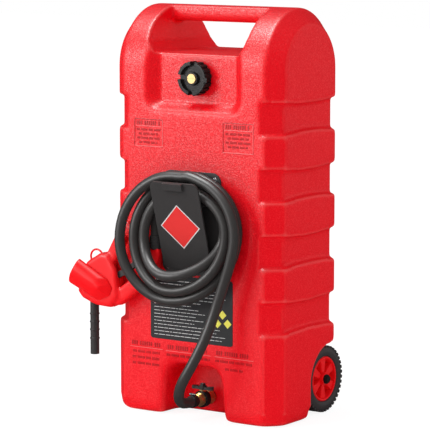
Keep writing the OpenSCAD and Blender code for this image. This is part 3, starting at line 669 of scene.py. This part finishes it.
def quarter(a, b, rising, t):
    """A point on the quarter of a loop between two stops"""
    f = math.pi / 2 * t
    along = (1 - math.cos(2 * f)) / 2
    if rising:
        x = b[0] + (a[0] - b[0]) * math.cos(f)
        z = a[2] + (b[2] - a[2]) * math.sin(f)
    else:
        x = a[0] + (b[0] - a[0]) * math.sin(f)
        z = b[2] + (a[2] - b[2]) * math.cos(f)
    return x, a[1] + (b[1] - a[1]) * along, z


def through(points, parts):
    """A smooth line through points, with the given number of parts between each two"""
    line = []
    for i in range(len(points) - 1):
        p0, p1 = Vector(points[max(i - 1, 0)]), Vector(points[i])
        p2, p3 = Vector(points[i + 1]), Vector(points[min(i + 2, len(points) - 1)])
        for k in range(parts):
            t = k / parts
            line.append(0.5 * (2 * p1 + (p2 - p0) * t + (2 * p0 - 5 * p1 + 4 * p2 - p3) * t * t
                               + (3 * p1 - p0 - 3 * p2 + p3) * t ** 3))
    return line + [Vector(points[-1])]


def hose_line():
    """The hose's middle line from the valve to the nozzle, in metres"""
    coil = [quarter(a, b, i % 2 == 0, k / QUARTER_PARTS)
            for i, (a, b) in enumerate(zip(COIL_STOPS, COIL_STOPS[1:])) for k in range(QUARTER_PARTS)]
    coil = [FERRULE_END] + coil + [COIL_STOPS[-1]]
    line = through(TAIL_ROUTE, TAIL_PARTS) + [Vector(p) for p in reversed(coil)]
    return [Vector((x, FRONT_Y + d, z)) * MM for x, d, z in line]


class CADDY_OT_hose(bpy.types.Operator):
    """Lays the hose from the valve, round the hanger, to the nozzle"""
    bl_idname = "caddy.hose"
    bl_label = "Hose"

    def execute(self, context):
        diameter = context.scene.caddy_hose.diameter
        line = hose_line()
        curve = bpy.data.curves.new("hose", "CURVE")
        curve.dimensions = "3D"
        curve.bevel_depth = diameter / 2
        curve.bevel_resolution = 8
        curve.use_fill_caps = True
        spline = curve.splines.new("POLY")
        spline.points.add(len(line) - 1)
        for point, at in zip(spline.points, line):
            point.co = (*at, 1)
        spline.use_smooth = True
        curve.materials.append(hose_rubber())
        hose = bpy.data.objects.new("hose", curve)
        context.collection.objects.link(hose)
        ridden(hose, ["hose_tail", "hose_coil"])
        return {"FINISHED"}


# Tank

HANGER_SCREWS = [(x, z) for x in (-56, 56) for z in (305, 483)]
# Bores that the skin closes: a point on the axis, the axis, a radius past the wall and the reach along the axis
SHELL_BORES = [
    ((0, 0, FILLER_Z), "y", 19.2, (-113.2, -90)),
    ((0, 0, OUTLET_Z), "y", 8.3, (-57, -50)),
    ((0, AXLE_Y, AXLE_Z), "x", 6.3, (-141, 141)),
    *(((x, 0, z), "y", 4.8, (-121.8, -100)) for x, z in HANGER_SCREWS),
]
# Zones that are smoothed further: the foot, the valve's pocket and the front rim of the filler bay
FOOT_TOP = 26
POCKET_HALF, POCKET_Y, POCKET_TOP = 100, -84, 128
BAY_LOW, BAY_RIM_Y = 600, -110


class CADDY_OT_tank(bpy.types.Operator):
    """Moulds the tank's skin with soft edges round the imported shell"""
    bl_idname = "caddy.tank"
    bl_label = "Tank"

    def execute(self, context):
        props = context.scene.caddy_tank
        bm = self.outer_skin()
        bm = cells(bm, props.cell)
        smooth(bm, props.passes)
        smooth(bm, props.foot_passes, self.round_foot)
        smooth(bm, props.rim_passes, self.on_bay_rim)
        tank = piece("tank_skin", bm, tank_plastic(), ["tank_shell"])
        tank.modifiers.new("Thin", "DECIMATE").ratio = props.kept
        return {"FINISHED"}

    def round_foot(self, p):
        """Whether a point is low on the foot or round the valve's pocket"""
        return p.z < FOOT_TOP or (abs(p.x) < POCKET_HALF and p.y < POCKET_Y and p.z < POCKET_TOP)

    def on_bay_rim(self, p):
        """Whether a point is on the front rim of the filler bay"""
        return p.z > BAY_LOW and p.y < BAY_RIM_Y

    def outer_skin(self):
        """The shell's outer face alone, its bores closed"""
        bm = bmesh.new()
        bm.from_mesh(frame["nodes"]["tank_shell"].data)
        bmesh.ops.remove_doubles(bm, verts=bm.verts, dist=1e-6)
        doomed = [f for f in bm.faces if any(self.lines(f, *bore) for bore in SHELL_BORES)]
        bmesh.ops.delete(bm, geom=doomed, context="FACES")
        self.keep_largest(bm)
        bmesh.ops.holes_fill(bm, edges=[e for e in bm.edges if e.is_boundary], sides=0)
        bmesh.ops.triangulate(bm, faces=[f for f in bm.faces if len(f.verts) > 4])
        return bm

    def lines(self, face, centre, axis, radius, reach):
        """Whether a face lies on the wall or the floor of a bore"""
        at = face.calc_center_median() / MM
        off = at - Vector(centre)
        off["xyz".index(axis)] = 0
        return off.length < radius and reach[0] < getattr(at, axis) < reach[1]

    def keep_largest(self, bm):
        """Leaves only the connected part that reaches furthest"""
        seen = set()
        parts = []
        for start in bm.verts:
            if start in seen:
                continue
            part, front = [], [start]
            seen.add(start)
            while front:
                v = front.pop()
                part.append(v)
                for e in v.link_edges:
                    w = e.other_vert(v)
                    if w not in seen:
                        seen.add(w)
                        front.append(w)
            parts.append(part)
        parts.sort(key=lambda part: max(v.co.z for v in part) - min(v.co.z for v in part))
        bmesh.ops.delete(bm, geom=[v for part in parts[:-1] for v in part], context="VERTS")


# Front plate and frames

# Left, right, low and high edges of the plate, and the rows of rules on it
PLATE_EDGES = (-101, 97, 155, 286)
PLATE_CORNER, PLATE_RISE = 6, 0.7
RULE_ROWS = 17
RULE_MARGIN, RULE_TOP = 9, 11
RULE_H, BOLD_H = 1.05, 1.7
BOLD_ROWS, SHORT_ROWS = range(2), range(6, 13)
PRINT = 0.12
DIAMONDS = ((73, 217), (85, 200), (61, 199))
DIAMOND_SIDE = 13
# Left, right, low and high edges of the raised frames, and the bars and strokes in them
FRAMES = ((-139, -71, 541, 595), (74, 144, 539, 597))
# Width of the frames' shaded bars, and of the bars that carry the painted highlight
FRAME_W, LIT_W = 1.4, 1.6
FRAME_RISE, HEAD_RISE, STROKE_RISE = 0.9, 0.8, 0.7
FRAME_ROWS, FRAME_PITCH = 4, 8.5
# Rows of strokes low on the front: middle, half width and top, then the inset and the drop of each further row
STROKE_GROUPS = ((-112, 40, 141, ((7, 17), (6, 29), (6, 41))), (-10, 54, 140, ((2, 16),)),
                 (100, 46, 140, ((2, 16), (25, 31))))


class CADDY_OT_front(bpy.types.Operator):
    """Sets the dark plate, its printed rules and the raised frames on the front face"""
    bl_idname = "caddy.front"
    bl_label = "Front plate and frames"

    def execute(self, context):
        self.plate()
        self.frames()
        return {"FINISHED"}

    def bar(self, bm, x0, x1, z, height, rise, depth=0):
        """A flat bar on the front face, from x0 to x1, its middle at height z"""
        block(bm, upright(depth - rise / 2, (x0 + x1) / 2, z), x1 - x0, height, rise)

    def rules(self, bm, x0, x1, z, height, seed):
        """A row of short printed bars of uneven length, from x0 to x1"""
        shortest, spread, gap = 5, 12, 1.8
        n = 0
        while x0 < x1 - 1:
            end = min(x0 + shortest + (seed * 13 + n * 7) % spread, x1)
            self.bar(bm, x0, end, z, height, PRINT, 0.02 - PLATE_RISE)
            x0 = end + gap
            n += 1

    def spare(self, k):
        """How far from the plate's right edge a row of rules ends, more beside the diamonds"""
        return 62 + k * 23 % 41 if k in SHORT_ROWS else 14 + k * 37 % 29

    def strokes(self, bm, x0, x1, z, height, rise, seed):
        """A row of plain upright strokes in uneven groups, from x0 to x1"""
        width, pitch, gap = 0.4 * height, 0.62 * height, 0.5 * height
        group = 0
        while x0 + width < x1:
            for _ in range(3 + (seed * 5 + group * 3) % 5):
                if x0 + width < x1:
                    self.bar(bm, x0, x0 + width, z, height, rise)
                x0 += pitch
            x0 += gap
            group += 1

    def plate(self):
        """The dark plate with rows of plain printed rules and bare diamonds"""
        left, right, low, high = PLATE_EDGES
        bm = outline_prism(rounded_corners(right - left, high - low, PLATE_CORNER), -0.2, PLATE_RISE)
        soften(bm, 0.25)
        place(bm, upright(0, (left + right) / 2, (low + high) / 2))
        piece("front_plate", bm, label_film(), sharp=SHARP)
        rules = bmesh.new()
        for k in range(RULE_ROWS):
            z = high - RULE_TOP - k * (high - low - RULE_TOP - RULE_MARGIN) / (RULE_ROWS - 1)
            height = BOLD_H if k in BOLD_ROWS else RULE_H
            self.rules(rules, left + RULE_MARGIN, right - self.spare(k), z, height, k)
        piece("front_rules", rules, print_white(), sharp=SHARP)
        marks = bmesh.new()
        for x, z in DIAMONDS:
            at = upright(-0.04 - PLATE_RISE, x, z) @ Matrix.Rotation(math.pi / 4, 4, "Z")
            block(marks, at, DIAMOND_SIDE, DIAMOND_SIDE, PRINT)
        piece("front_marks", marks, print_yellow(), sharp=SHARP)

    def frames(self):
        """Raised frames and rows of plain strokes, moulded with the tank, with painted shade on the strokes and the
        top and left bars and a painted highlight on the other bars
        """
        # bm gathers the strokes and the frames' top and left bars, which get red painted darker as painted shade
        bm = bmesh.new()
        # lit gathers the frames' bottom and right bars and the bars under the headings, which get red painted lighter
        # as a painted highlight
        lit = bmesh.new()
        for left, right, low, high in FRAMES:
            middle, tall = (low + high) / 2, high - low
            self.bar(bm, left, right, high, FRAME_W, FRAME_RISE)
            self.bar(bm, left - FRAME_W / 2, left + FRAME_W / 2, middle, tall, FRAME_RISE)
            self.bar(lit, left, right, low, LIT_W, FRAME_RISE)
            self.bar(lit, right - LIT_W / 2, right + LIT_W / 2, middle, tall, FRAME_RISE)
            self.bar(lit, left + 3, right - 3, high - 14, FRAME_W, HEAD_RISE)
            self.strokes(bm, left + 5, right - 5, high - 7.5, 8, HEAD_RISE, 3)
            for k in range(FRAME_ROWS):
                inset = 5 + (k * 5) % 9
                self.strokes(bm, left + inset, right - inset, high - 21 - FRAME_PITCH * k, 4.4, STROKE_RISE, k)
        for middle, half, top, rows in STROKE_GROUPS:
            left, right = middle - half, middle + half
            self.strokes(bm, left + 4, right - 4, top, 8.5, HEAD_RISE, 4)
            self.bar(lit, left, right, top - 8, FRAME_W, HEAD_RISE)
            for k, (inset, drop) in enumerate(rows):
                self.strokes(bm, left + inset, right - inset, top - drop, 5, STROKE_RISE, k)
        # The shaded set gets red painted darker (painted shade), the lit set red painted lighter (painted highlight)
        for name, shape, finish in (("raised_frames", bm, mark_plastic()), ("raised_edges", lit, edge_plastic())):
            soften(shape, 0.3, segments=1)
            piece(name, shape, finish, sharp=SHARP)


# Cap

# Radius and height round the dish, the skirt and the hub
CAP_PROFILE = [(25.4, 1), (30, 1), (31.4, 2.5), (31.4, 18), (13.6, 18), (12.4, 23.5), (9.7, 23.5), (9.7, 16.3),
               (25.4, 16.3)]
CASTLES, SKIRT_RIBS = 4, 4
# Where a castle and its ribs start, as shares of a castle's turn, and half a rib's angle
CASTLE_START, RIBS_START = 0.1, 0.17
RIB_HALF = 0.11
CAP_TURN = math.radians(-5)


class CADDY_OT_cap(bpy.types.Operator):
    """Dresses the filler cap, its seal and the vent screw"""
    bl_idname = "caddy.cap"
    bl_label = "Filler cap"

    def execute(self, context):
        bm = place(self.cap(), upright(CAP_Y - FRONT_Y, 0, FILLER_Z))
        piece("filler_cap_castled", bm, cap_plastic(), ["filler_cap"], "cap", sharp=35)
        dressed("cap_gasket", seal_rubber(), "cap_seal", 0.3)
        dressed("vent_screw", dull_brass(), "vent", 0.3)
        return {"FINISHED"}

    def cap(self):
        """A dished cap with a hub round the vent and a castled rim"""
        bm = turned(CAP_PROFILE, 96)
        step = 2 * math.pi / CASTLES
        for k in range(CASTLES):
            start, end = step * (k + CASTLE_START), step * (k + 1 - CASTLE_START)
            add(bm, soften(self.sector(start, end, inner=26.2, outer=32.8, low=17, high=26), 0.7))
            for i in range(SKIRT_RIBS):
                middle = step * (k + RIBS_START + (1 - 2 * RIBS_START) * i / (SKIRT_RIBS - 1))
                rib = self.sector(middle - RIB_HALF, middle + RIB_HALF, inner=30, outer=34, low=3, high=24.5)
                add(bm, soften(rib, 0.6))
        return place(bm, Matrix.Rotation(CAP_TURN, 4, "Z"))

    def sector(self, start, end, inner, outer, low, high, steps=8):
        """A block between two angles, two radii and two heights"""
        arc = [start + (end - start) * i / steps for i in range(steps + 1)]
        points = [(outer * math.cos(a), outer * math.sin(a)) for a in arc]
        points += [(inner * math.cos(a), inner * math.sin(a)) for a in reversed(arc)]
        return outline_prism(points, low, high)


# Hanger

PLATE_LEAN = math.radians(16.5)
DIAMOND_DEPTH, DIAMOND_Z = -40.7, 391
BORDER_SIDE, BORDER_RISE = 66, 0.25
FACE_SIDE, FACE_RISE = 62, 0.4


class CADDY_OT_hanger(bpy.types.Operator):
    """Dresses the hanger's base, plate, screws and inserts and adds the diamond"""
    bl_idname = "caddy.hanger"
    bl_label = "Hose hanger"

    def execute(self, context):
        dressed("hanger_base", black_plastic(), round_mm=0.6)
        dressed("hanger_plate", black_plastic(), round_mm=0.8)
        for node in ("hanger_plate_screws", "hanger_base_screws"):
            dressed(node, steel_metal(), round_mm=0.25)
        dressed("hanger_inserts", brass_metal(), round_mm=0.25)
        self.diamond("diamond_border", BORDER_SIDE, BORDER_RISE, print_white())
        self.diamond("diamond_face", FACE_SIDE, FACE_RISE, print_red())
        return {"FINISHED"}

    def diamond(self, name, side, rise, finish):
        """A bare diamond on the leaning plate"""
        bm = bmesh.new()
        on_plate = upright(DIAMOND_DEPTH, 0, DIAMOND_Z) @ Matrix.Rotation(PLATE_LEAN, 4, "X")
        raised = Matrix.Translation((0, 0, rise / 2 * MM))
        block(bm, on_plate @ raised @ Matrix.Rotation(math.pi / 4, 4, "Z"), side, side, rise)
        piece(name, bm, finish, sharp=SHARP)


# Valve

COLLAR_DEPTH = 43
COLLAR_INNER, COLLAR_OUTER = 13.1, 17
COLLAR_W, COLLAR_EDGE = 14, 0.8


class CADDY_OT_valve(bpy.types.Operator):
    """Dresses the outlet, the shut-off valve, its handle and the hose tail's fittings"""
    bl_idname = "caddy.valve"
    bl_label = "Outlet valve"

    def execute(self, context):
        for node in ("bulkhead_fitting", "outlet_nut", "valve_body", "hose_barb"):
            dressed(node, brass_metal(), round_mm=0.5)
        dressed("outlet_washer", seal_rubber(), round_mm=0.3)
        dressed("valve_seats", seat_polymer(), round_mm=0.2)
        dressed("tail_clamp", dark_steel(), round_mm=0.3)
        dressed("valve_ball", steel_metal(), "valve", 0.2)
        dressed("valve_stem", steel_metal(), "valve", 0.2)
        dressed("valve_handle", black_plastic(), "valve", 0.8)
        dressed("handle_nut", dark_steel(), "valve", 0.3)
        collar = place(self.collar(), upright(COLLAR_DEPTH, 0, OUTLET_Z))
        piece("valve_collar", collar, cap_plastic(), sharp=30)
        return {"FINISHED"}

    def collar(self):
        """A ring with chamfered edges round the valve's barrel"""
        half = [(COLLAR_INNER, 0), (COLLAR_OUTER - COLLAR_EDGE, 0), (COLLAR_OUTER, COLLAR_EDGE)]
        return turned(half + [(r, COLLAR_W - z) for r, z in reversed(half)], 48)


# Wheels

# Radius and height of the tyre, from its bead to the middle of its tread
TYRE_HALF = [(46, 4), (46.6, 2.4), (48.5, 1.0), (52, 0.7), (54, 0.1), (56, 0.1), (57.5, 0.8), (60, 1.0), (63.5, 2.2),
             (66, 5), (66.7, 9)]
TREADS = 40
# Shift of each row of blocks, in pitches, and its two ends across the tyre
TREAD_ROWS = ((0, 1.6, 12.6), (0.25, 14.4, 23.6), (0.5, 25.4, 36.4))
TREAD_R, TREAD_DEEP, TREAD_LONG = 65.8, 4, 6.6
# Radius and height of the rim's lipped ring, its disc and its hub
RING = [(40.2, 4.5), (41, 2.8), (43, 2.0), (45.2, 3.0), (45.8, 4.5), (45.8, 33.5), (45.2, 35), (43.4, 36),
        (41.4, 35.6), (40.2, 33.5)]
DISC = [(12, 13), (41, 15.5), (41, 19.5), (12, 22)]
HUB = [(6.1, -3), (11.5, -3), (13, -1.5), (13, 36.4), (11.8, 38), (6.1, 38)]
SPOKES = 6
SPOKE = [(11, -4.5), (41, -10), (41, 10), (11, 4.5)]
SPOKE_LOW, SPOKE_HIGH = 14, 32.5


class CADDY_OT_wheels(bpy.types.Operator):
    """Builds the treaded tyres and the spoked rims and dresses the axle"""
    bl_idname = "caddy.wheels"
    bl_label = "Wheels"

    def execute(self, context):
        for side, turn in (("left", -1), ("right", 1)):
            at = across(turn * TYRE_X, AXLE_Y, AXLE_Z, turn)
            body = side + "_wheel"
            piece(side + "_tyre_treaded", place(self.tyre(), at), tyre_rubber(),
                  [side + "_tyre"], body, sharp=SHARP)
            piece(side + "_rim_spoked", place(self.rim(), at), nozzle_plastic(),
                  [side + "_rim"], body, sharp=SHARP)
        dressed("axle", steel_metal(), round_mm=0.5)
        dressed("axle_washers", steel_metal(), round_mm=0.3)
        dressed("axle_caps", cap_plastic(), round_mm=0.6)
        return {"FINISHED"}

    def tyre(self):
        """A round carcass with a rib on its side and three rows of tread blocks"""
        bm = turned(TYRE_HALF + [(r, TYRE_W - z) for r, z in reversed(TYRE_HALF)], 96)
        blocks = bmesh.new()
        for k in range(TREADS):
            for shift, low, high in TREAD_ROWS:
                turn = Matrix.Rotation(2 * math.pi * (k + shift) / TREADS, 4, "Z")
                at = turn @ Matrix.Translation((TREAD_R * MM, 0, (low + high) / 2 * MM))
                block(blocks, at, TREAD_DEEP, TREAD_LONG, high - low)
        return add(bm, soften(blocks, 0.8))

    def rim(self):
        """A lipped ring, a disc, a hub and ribs between them"""
        bm = turned(RING, 96)
        add(bm, turned(DISC, 96))
        add(bm, turned(HUB, 48))
        for k in range(SPOKES):
            rib = soften(outline_prism(SPOKE, SPOKE_LOW, SPOKE_HIGH), 1.6, segments=3)
            add(bm, place(rib, Matrix.Rotation(2 * math.pi * k / SPOKES, 4, "Z")))
        return bm


# Nozzle

SHELL_CELL, SHELL_PASSES = 1.3, 30
SEAM_BAND, SPOUT_ZONE = 1.0, 12.5
HOOD_CELL, HOOD_PASSES = 1.0, 26
HOOD_OUT = 17
# Outline of the hood's foot, x and z, with its middle and the line that it lies along
HOOD_FOOT = [(-253, 308), (-278, 256), (-204, 224), (-177, 236), (-170, 253), (-181, 270)]
HOOD_MIDDLE, HOOD_ALONG = Vector((-226, 265)), Vector((0.917, -0.399))
HOOD_LAYERS = (0.05, 5, 9, 12, 14.5, 16.5, 17.9)
HOOD_RADIUS = 18
# How far its ends go back for each millimetre of height, and its least width as a share of the foot's
RIGHT_CUT, LEFT_CUT, HOOD_LEAST = 1.3, -0.1, 0.2


class CADDY_OT_nozzle(bpy.types.Operator):
    """Dresses the nozzle's shells, hood, loop, spout, trigger and inner works"""
    bl_idname = "caddy.nozzle"
    bl_label = "Nozzle"

    def execute(self, context):
        for node in ("nozzle_front_shell", "nozzle_rear_shell"):
            bm = cells(solid_copy(node), SHELL_CELL * MM)
            smooth(bm, SHELL_PASSES, self.off_seam)
            piece(node + "_dressed", bm, nozzle_plastic(), [node])
        bm = cells(place(self.hood(), upright(SEAM_Y - FRONT_Y - HOOD_OUT, 0, 0)), HOOD_CELL * MM)
        smooth(bm, HOOD_PASSES)
        piece("nozzle_hood_sleeve", bm, hood_plastic(), ["nozzle_hood"])
        dressed("hang_loop", nozzle_plastic(), round_mm=0.3)
        dressed("nozzle_ferrule", black_plastic(), round_mm=0.4)
        dressed("spout", black_plastic(), round_mm=0.5)
        dressed("trigger", black_plastic(), "trigger_lever", 0.8)
        dressed("trigger_pin", steel_metal(), round_mm=0.3)
        dressed("poppet", brass_metal(), "nozzle_poppet", 0.2)
        spring = dressed("poppet_spring", steel_metal(), round_mm=0.02)
        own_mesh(spring)
        dressed("nozzle_screws", steel_metal(), round_mm=0.2)
        return {"FINISHED"}

    def off_seam(self, p):
        """Whether a point is clear of the shells' seam and of the spout's bore"""
        return abs(p.y - SEAM_Y) > SEAM_BAND and math.hypot(p.x - SPOUT_X, p.y - SEAM_Y) > SPOUT_ZONE

    def hood(self):
        """A round-backed sleeve over the body, its right end cut back"""
        side = Vector((-HOOD_ALONG.y, HOOD_ALONG.x))
        layers = []
        for high in HOOD_LAYERS:
            narrow = max(math.sqrt(1 - (high / HOOD_RADIUS) ** 2), HOOD_LEAST)
            layer = []
            for k, point in enumerate(HOOD_FOOT):
                off = Vector(point) - HOOD_MIDDLE
                back = (RIGHT_CUT if k > 1 else LEFT_CUT) * high
                layer.append(HOOD_MIDDLE + HOOD_ALONG * (off.dot(HOOD_ALONG) - back) + side * (off.dot(side) * narrow))
            layers.append((layer, high))
        return loft(layers)


# Panel

class CADDY_PT_build(bpy.types.Panel):
    """Lists the caddy's builders"""
    bl_label = "Fuel caddy"
    bl_space_type = "VIEW_3D"
    bl_region_type = "UI"
    bl_category = "Caddy"

    def draw(self, context):
        for builder in BUILDERS:
            self.layout.operator(builder.bl_idname)


GROUPS = {"caddy_finish": CaddyFinish, "caddy_tank": CaddyTank, "caddy_hose": CaddyHose, "caddy_stage": CaddyStage}
BUILDERS = (CADDY_OT_stage, CADDY_OT_hose, CADDY_OT_tank, CADDY_OT_front, CADDY_OT_cap, CADDY_OT_hanger,
            CADDY_OT_valve, CADDY_OT_wheels, CADDY_OT_nozzle)


def register():
    """Adds the classes and the scene's properties"""
    for cls in (*GROUPS.values(), *BUILDERS, CADDY_PT_build):
        bpy.utils.register_class(cls)
    for name, group in GROUPS.items():
        setattr(bpy.types.Scene, name, PointerProperty(type=group))


def unregister():
    """Takes the properties and the classes away again"""
    for name in GROUPS:
        delattr(bpy.types.Scene, name)
    for cls in reversed((*GROUPS.values(), *BUILDERS, CADDY_PT_build)):
        bpy.utils.unregister_class(cls)


def main():
    """Builds every piece in order"""
    register()
    for builder in BUILDERS:
        category, name = builder.bl_idname.split(".")
        getattr(getattr(bpy.ops, category), name)()


if __name__ == "__main__":
    main()
